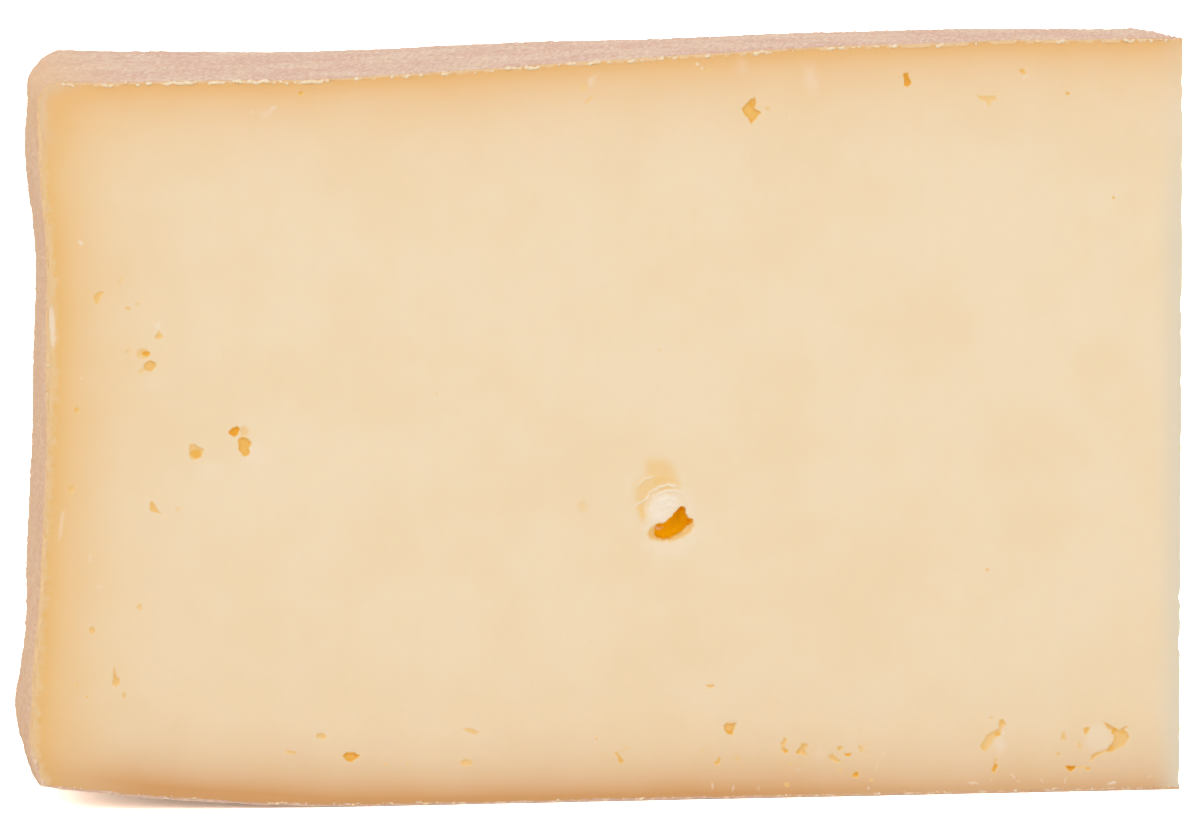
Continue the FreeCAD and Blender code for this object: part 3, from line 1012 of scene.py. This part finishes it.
def carveShell(along, upward, tone, pale, bright, hollow, raised):
    place = shell["place"]
    for strength, soft, outline in shell["thick"]:
        index, a, b = nearby(along, upward, place, outline, 2.0)
        cover = softInside(a, b, outline, soft)
        crumpled = noiseAt(stack(a, b, 0.0), 0.8, seed=21) if len(a) else 0.0
        raiseTo(pale, index, strength * cover * (0.85 + 0.3 * crumpled))
        raised[index] += strength * cover * shell["thickRise"] * (1.0 + 0.5 * crumpled)
    for veilTone, soft, outline in shell["veils"]:
        index, a, b = nearby(along, upward, place, outline, 2.0)
        raiseTo(tone, index, veilTone * softInside(a, b, outline, soft))
    for halfWidth, strength, corners in shell["edges"]:
        index, a, b = nearby(along, upward, place, corners)
        far = np.min([toSegment(a, b, p, q) for p, q in zip(corners, corners[1:])], axis=0)
        ends = np.minimum(np.hypot(a - corners[0][0], b - corners[0][1]),
                          np.hypot(a - corners[-1][0], b - corners[-1][1]))
        line = np.exp(-(far / halfWidth) ** 2) * ease(0.35 + ends / 0.8)
        raiseTo(bright, index, strength * line)
        raised[index] += shell["edgeRise"] * line
    index, a, b = nearby(along, upward, place, shell["rim"])
    slope = insideOutline(a, b, shell["rim"])
    hole = insideOutline(a, b, shell["hole"])
    raiseTo(tone, index, shell["rimTone"] * ease((slope + 0.1) / 0.5) * (hole < 0.4))
    raiseTo(hollow, index, shell["rimDepth"] * ease(slope / 0.8))
    pale[index] *= 1.0 - 0.8 * ease((slope + 0.05) / 0.15)
    raiseTo(tone, index, shell["holeTone"] * ease((hole + 0.05) / 0.14))
    deep = shell["holeDepth"] * (0.6 * ease(hole / 0.25) + 0.4 * ease(hole / 1.0))
    raiseTo(hollow, index, deep + 0.3 * (hole > 0.0))
    raised[index] *= 1.0 - ease((hole + 0.1) / 0.1)


def carveFace(piece, name, eyes, smears, marks):
    # sinks the eyes into one cut face and notes what its points look like
    mesh = piece.data
    points = getPoints(mesh)
    along, upward, there = onFace(points, name)
    face = np.nonzero(there)[0]
    along, upward = along[face], upward[face]
    flat = stack(along, upward, 0.0)
    warpA = along + waves(flat, paste["ragged"], seed=4)
    warpB = upward + waves(flat, paste["ragged"], seed=5)
    tone, pale, bright, hollow, raised = (np.zeros(len(face)) for _ in range(5))
    for fromHeel, fromBottom, strength, soft, outline in smears:
        index, a, b = nearby(warpA, warpB, (fromHeel, fromBottom), outline)
        raiseTo(pale, index, strength * softInside(a, b, outline, soft))
    if name == "front":
        carveShell(warpA, warpB, tone, pale, bright, hollow, raised)
    for fromHeel, fromBottom, eyeTone, sink, outline in eyes:
        index, a, b = nearby(warpA, warpB, (fromHeel, fromBottom), outline)
        inside = insideOutline(a, b, outline)
        blur = paste["eyeBlur"] * (1.0 + paste["faintBlur"] * max(0.0, paste["faint"] - eyeTone))
        cover = ease(0.4 + inside / blur)
        raiseTo(tone, index, eyeTone * cover)
        raiseTo(hollow, index, sink * ease((inside + 0.06) / paste["eyeWall"]))
        pale[index] *= 1.0 - 0.8 * cover
    out = np.array(cutFaces[name][2])
    slow = waves(flat, paste["faceWave"], seed=6)
    points[face] += np.outer((raised - hollow + slow) * mm, out)
    setPoints(mesh, points)
    marks[face] = np.stack([tone, pale, bright], axis=-1)


def nickTipEdges(piece):
    # small nicks where the tip cut meets the two large faces
    mesh = piece.data
    points = getPoints(mesh)
    along, upward, there = onFace(points, "tip")
    width = along[there].max()
    edge = there & ((along < 0.02) | (along > width - 0.02))
    index = np.nonzero(edge)[0]
    depth, fine, coarse = paste["nicks"]
    rough = noiseAt(points[index], fine, seed=8, octaves=3)
    chips = np.clip(noiseAt(points[index], coarse, seed=9) - 0.25, 0.0, 1.0)
    bite = depth * (0.4 * np.abs(rough) + 1.3 * chips)
    points[index] -= np.outer(bite, np.array(cutFaces["tip"][2]))
    setPoints(mesh, points)


def refine(piece, name, eyes, margin):
    # finer faces on a cut face, wherever an eye comes near
    along, upward, there = onFace(readAll(piece.data.polygons, "center"), name)
    near = np.zeros(len(along), dtype=bool)
    for fromHeel, fromBottom, outline in eyes:
        a, b = zip(*outline)
        inA = (along > fromHeel + min(a) - margin) & (along < fromHeel + max(a) + margin)
        near |= inA & (upward > fromBottom + min(b) - margin) & (upward < fromBottom + max(b) + margin)
    selectOnly(piece, faces=near & there)
    bpy.ops.mesh.subdivide(number_cuts=2)
    bpy.ops.object.mode_set(mode="OBJECT")


def buildPaste():
    piece = pasteBlank()
    eyes = {"front": frontEyes, "back": scatteredEyes(scatter["back"]), "tip": scatteredEyes(scatter["tip"])}
    for name in eyes:
        spots = [(along, upward, outline) for along, upward, tone, sink, outline in eyes[name]]
        if name == "front":
            for along, upward, strength, soft, outline in frontSmears:
                if soft < paste["crisp"]:
                    spots.append((along, upward, outline))
            outlines = [shell["hole"], shell["rim"]]
            outlines += [mark[-1] for mark in shell["edges"] + shell["veils"]]
            spots += [shell["place"] + (outline,) for outline in outlines]
        for margin in paste["fineMargins"]:
            refine(piece, name, spots, margin)
    mesh = piece.data
    marks = np.zeros((len(mesh.vertices), 3))
    for name in eyes:
        carveFace(piece, name, eyes[name], frontSmears if name == "front" else [], marks)
    nickTipEdges(piece)

    points = getPoints(mesh)
    inset = wheel["radius"] - np.hypot(points[:, 0] - axisX, points[:, 1] - axisY)
    toTop = topAt(inset) - points[:, 2]
    toHeel = inset - heelInset(np.minimum(points[:, 2], bandHeight - wheel["shoulder"]))
    amount, start, run = paste["thicker"]
    toBottom = points[:, 2] - bottomAt(inset) - amount * ease((start - inset) / run)
    store(mesh, "fromRind", np.stack([toTop, toHeel, toBottom], axis=-1) / mm)
    store(mesh, "marks", marks)
    edge = np.minimum(toTop, toHeel) / mm
    rounded = cornerShare(inset - 1.0 * mm, points[:, 2], paste["cornerReach"])
    store(mesh, "corner", rounded * np.exp(-np.clip(edge, 0.0, None) / 2.2))
    under = [(np.array(corner) - points) @ np.array(out) for corner, way, out in cutFaces.values()]
    toFront, toBack, toTip = under
    store(mesh, "fromTip", np.hypot(toTip, np.minimum(toFront, toBack)) / mm)
    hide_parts("cheese_wedge")
    finishPiece(piece, pasteMaterial(), paste["smooth"])


# the rind: three thin skins with the print of the cloth
rind = {
    "pitch": 0.86 * mm,             # from one of the cloth's threads to the next
    "clothTurn": math.radians(17),
    "print": 0.04 * mm,             # depth of the print
    "slack": (0.22, 5.0 * mm),      # the threads wander this share of their pitch
    # depth and size of its grit, its ripples, the cut edge's wandering a little inside the cut
    # face, and the lifting of the bottom's hem off the table
    "grit": (0.11 * mm, 0.9 * mm),
    "ripple": (0.07 * mm, 3.2 * mm),
    "lip": (0.05 * mm, 1.3 * mm),
    "frayed": (0.12 * mm, 1.6 * mm),
    "heelGrit": 1.5,                # coarser on the heel
    "flattened": 0.6,               # the bottom is pressed flat on the shelf to this share
    "fade": 14.0 * mm,              # the heel's unevenness reaches this far over top and bottom
    "cornerReach": 15.0 * mm,
    "heelCorner": 0.65,             # the heel has at least this share of the corner's colour
    "innerLeft": 0.04,              # share of the faces left on the hidden inner side
    "smooth": 60,
    # columns, rows and thickness of each skin
    "skins": {
        "rindTop": (480, 150, 0.45 * mm),
        "rindHeel": (300, 170, 0.5 * mm),
        "rindBottom": (440, 130, 0.32 * mm),
    },
}


def wrapTop(along, turn):
    radius = wheel["shoulder"]
    arc = radius * math.pi / 2
    start = wheel["upperBulgeInset"] + radius
    run = along * (arc + tipInset(turn) - start)
    bend = np.clip(run / radius, 0.0, math.pi / 2)
    inset = np.where(run < arc, start - radius * np.cos(bend), start + run - arc)
    drop = radius * (1.0 - np.sin(bend))
    points = placeAt(inset, turn, topAt(inset) - drop)
    points[:, 2] += topWave(inset, turn, points)
    fade = 1.0 - ease(run / rind["fade"])
    return pushOut(points, turn, heelWave(turn, points[:, 2]) * fade)


def wrapHeel(along, turn):
    z = mix(wheel["footLift"], bandHeight - wheel["shoulder"], along)
    inset = heelInset(z)
    points = placeAt(inset, turn, z)
    points[:, 2] += topWave(inset, turn, points) * ease(along * 2.0 - 1.0)
    points[:, 2] += footWave(points) * ease(1.0 - along * 8.0)
    return pushOut(points, turn, heelWave(turn, z))


def wrapBottom(along, turn):
    inset = mix(tipInset(turn), wheel["footInset"], along)
    points = placeAt(inset, turn, bottomAt(inset))
    points[:, 2] += footWave(points)
    fade = 1.0 - ease((inset - wheel["footInset"]) / rind["fade"])
    return pushOut(points, turn, heelWave(turn, points[:, 2]) * fade)


def buildRindSkin(name, wrap, material):
    columns, rows, thickness = rind["skins"][name]
    piece = newGrid(name, columns, rows)
    mesh = piece.data
    share = getPoints(mesh)
    turn = share[:, 1] * wedgeAngle
    points = wrap(share[:, 0], turn)
    if name == "rindHeel":
        first, second = points[:, 2], turn * wheel["radius"]
    else:
        c, s = math.cos(rind["clothTurn"]), math.sin(rind["clothTurn"])
        first = points[:, 0] * c - points[:, 1] * s
        second = points[:, 0] * s + points[:, 1] * c
    # threads over and under each other, pressed in unevenly
    slack = waves(points, rind["slack"], seed=12)
    u = np.cos((first / rind["pitch"] + slack) * 2.0 * math.pi)
    v = np.cos((second / rind["pitch"] - slack) * 2.0 * math.pi)
    firm = 0.45 + 0.55 * ease(0.5 + 0.9 * noiseAt(points, 7.0 * mm, seed=13))
    height = rind["print"] * (0.6 * u * v + 0.4 * u) * firm
    coarser = rind["heelGrit"] if name == "rindHeel" else 1.0
    height += coarser * waves(points, rind["grit"], seed=14)
    height += waves(points, rind["ripple"], seed=15)
    if name == "rindBottom":
        height *= rind["flattened"]
        height -= height.max()      # nothing reaches below the table
    setPoints(mesh, points)
    hem = np.minimum(share[:, 1], 1.0 - share[:, 1]) * rows
    kept = 0.0 if name == "rindBottom" else 0.5     # how much of the print is left at the hem
    points += readAll(mesh.vertices, "normal") * (height * ease(kept + hem / 3.0))[:, None]
    # the cut edge is ragged, on the whole a little inside the cut face
    depth, size = rind["lip"]
    ragged = depth * (noiseAt(points, size, seed=16) - 0.7)
    for side, faceName in ((0.0, "front"), (1.0, "back")):
        rim = np.abs(share[:, 1] - side) < 0.5 / rows
        points[rim] += np.outer(ragged[rim], np.array(cutFaces[faceName][2]))
    if name == "rindBottom":
        depth, size = rind["frayed"]
        frayed = depth * np.clip(noiseAt(points, size, seed=17), 0.0, 1.0)
        points[:, 2] += frayed * ease(1.0 - hem / 4.0)
    setPoints(mesh, points)
    corner = cornerShare(points[:, 0] - low.x, points[:, 2], rind["cornerReach"])
    if name == "rindHeel":
        corner = np.maximum(corner, rind["heelCorner"])
    store(mesh, "cloth", np.stack([first / mm, second / mm, corner], axis=-1))
    store(mesh, "skin", np.zeros(len(points)))
    closeSkin(piece, thickness)
    finishPiece(piece, material, rind["smooth"])


def closeSkin(piece, thickness):
    # gives the skin its thickness, then thins out its hidden inner side
    mesh = piece.data
    outerPoints = len(mesh.vertices)
    outerFaces = len(mesh.polygons)
    makeActive(piece)
    solid = piece.modifiers.new("thickness", "SOLIDIFY")
    solid.thickness = thickness
    solid.offset = -1.0
    bpy.ops.object.modifier_apply(modifier=solid.name)
    skin = np.zeros(len(mesh.vertices), dtype=np.float32)
    skin[outerPoints:] = 1.0
    mesh.attributes["skin"].data.foreach_set("value", skin)
    rim = np.zeros(len(mesh.vertices), dtype=bool)
    for polygon in mesh.polygons[outerFaces * 2:]:
        rim[list(polygon.vertices)] = True
    inner = np.zeros(len(mesh.polygons), dtype=bool)
    for polygon in mesh.polygons[outerFaces:outerFaces * 2]:
        inner[polygon.index] = not rim[list(polygon.vertices)].any()
    selectOnly(piece, faces=inner)
    bpy.ops.mesh.decimate(ratio=rind["innerLeft"])
    bpy.ops.object.mode_set(mode="OBJECT")


# the torn rim: what the knife dragged out of the rind along each cut face
torn = {
    "spacing": 0.13 * mm,           # between the rings it is built of
    "sides": 9,
    "inward": 0.26 * mm,            # its middle lies this far inside the rind's edge
    "sunk": 0.16 * mm,              # where it is thin it lies this deep under the cut face
    "sag": 0.22 * mm,               # how far its middle wanders
    "tall": 0.22 * mm,              # half its height on the cut face, in full
    "proud": 0.20 * mm,             # and half its thickness
    "samples": 900,                 # along each stretch of the rind's edge
    "endRings": 12.0,               # over which it tapers off at the tip
    "flakeSizes": (1.3 * mm, 0.35 * mm),
    "gatherSize": 9.0 * mm,
    # how high the noise has to rise for a flake: everywhere, then more or less at each place
    "needed": {"all": 0.16, "top": -0.37, "bottom": -0.14, "gather": -0.3, "corner": 0.7, "heel": -0.1},
    "smooth": 70,
}


def rimPath(side):
    # the rind's edge on one cut face, from the tip over the heel and back below
    turn = 0.0 if side == "front" else wedgeAngle
    along = np.linspace(1.0, 0.0, torn["samples"])
    runs = [wrap(along, turn) for wrap in (wrapTop, wrapHeel, wrapBottom)]
    line = np.concatenate([runs[0], runs[1][1:], runs[2][1:]])
    gone = np.concatenate([[0.0], np.cumsum(np.linalg.norm(np.diff(line, axis=0), axis=1))])
    even = np.arange(0.0, gone[-1], torn["spacing"])
    return np.stack([np.interp(even, gone, line[:, i]) for i in range(3)], axis=-1)


def tatters(line):
    # how thick the rim is along its way: separate flakes, most of them along the top
    coarse, fine = torn["flakeSizes"]
    shape = noiseAt(line, coarse, seed=41) + 0.6 * noiseAt(line, fine, seed=42)
    gather = noiseAt(line, torn["gatherSize"], seed=43)
    # on the top, the bottom, the rounded corner and the heel's end of the top
    onTop = ease((line[:, 2] - 70.0 * mm) / (6.0 * mm))
    onBottom = ease((9.0 * mm - line[:, 2]) / (5.0 * mm))
    onCorner = onTop * ease(1.0 - (line[:, 0] - low.x) / (8.0 * mm))
    nearHeel = onTop * ease((34.0 * mm - (line[:, 0] - low.x)) / (9.0 * mm))
    places = {"top": onTop, "bottom": onBottom, "gather": gather, "corner": onCorner, "heel": nearHeel}
    needed = torn["needed"]["all"]
    for name, value in places.items():
        needed = needed + torn["needed"][name] * value
    patchy = 0.75 + 0.5 * noiseAt(line, 0.6 * mm, seed=46)
    full = 0.6 + 0.4 * onTop + 0.2 * onBottom
    return ease((shape - needed) / 0.7) * np.clip(patchy, 0.3, 1.1) * full


def buildTornRim(name, side, material):
    out = np.array(cutFaces[side][2])
    line = rimPath(side)
    way = np.gradient(line, axis=0)
    way /= np.linalg.norm(way, axis=1)[:, None]
    inward = np.cross(out, way)
    inward *= -np.sign(inward[len(inward) // 4, 2])
    rings = len(line)
    piece = newGrid(name, rings - 1, torn["sides"])
    mesh = piece.data
    share = getPoints(mesh)
    ring = np.rint(share[:, 0] * (rings - 1)).astype(int)
    angle = share[:, 1] * 2.0 * math.pi

    size = tatters(line)
    ends = np.minimum(np.arange(rings), np.arange(rings)[::-1]) / torn["endRings"]
    size *= ease(ends)
    sag = torn["sag"] * noiseAt(line, 0.9 * mm, seed=44)
    depth = mix(-torn["sunk"], 0.4 * torn["proud"], size)
    centre = line + inward * (torn["inward"] + sag)[:, None] + np.outer(depth, out)
    points = centre[ring]
    turned = np.stack([np.cos(angle), np.sin(angle), angle], axis=-1)
    knobbly = 1.0 + 0.4 * noiseAt(points + turned * 0.2 * mm, 0.3 * mm, seed=45)
    thick = (0.3 + 0.7 * size[ring]) * np.where(ends[ring] > 0.0, 1.0, 0.0)
    points += inward[ring] * (np.cos(angle) * torn["tall"] * thick * knobbly)[:, None]
    points += np.outer(np.sin(angle) * torn["proud"] * thick * knobbly, out)
    points[:, 2] = np.maximum(points[:, 2], 0.02 * mm)
    setPoints(mesh, points)
    store(mesh, "flake", size[ring])
    selectOnly(piece)
    bpy.context.tool_settings.mesh_select_mode = (True, False, False)
    bpy.ops.mesh.select_all(action="SELECT")
    bpy.ops.mesh.remove_doubles(threshold=1e-6)
    bpy.ops.mesh.normals_make_consistent(inside=False)
    bpy.ops.object.mode_set(mode="OBJECT")
    finishPiece(piece, material, torn["smooth"])


bpy.context.scene.view_settings.view_transform = "Standard"
addCamera()
addWorld()
addLights()
addFloor()
print("camera, lights and floor are placed")

buildPaste()
rindFinish = rindMaterial()
buildRindSkin("rindTop", wrapTop, rindFinish)
buildRindSkin("rindHeel", wrapHeel, rindFinish)
buildRindSkin("rindBottom", wrapBottom, rindFinish)
flakeFinish = flakeMaterial()
buildTornRim("tornRimFront", "front", flakeFinish)
buildTornRim("tornRimBack", "back", flakeFinish)
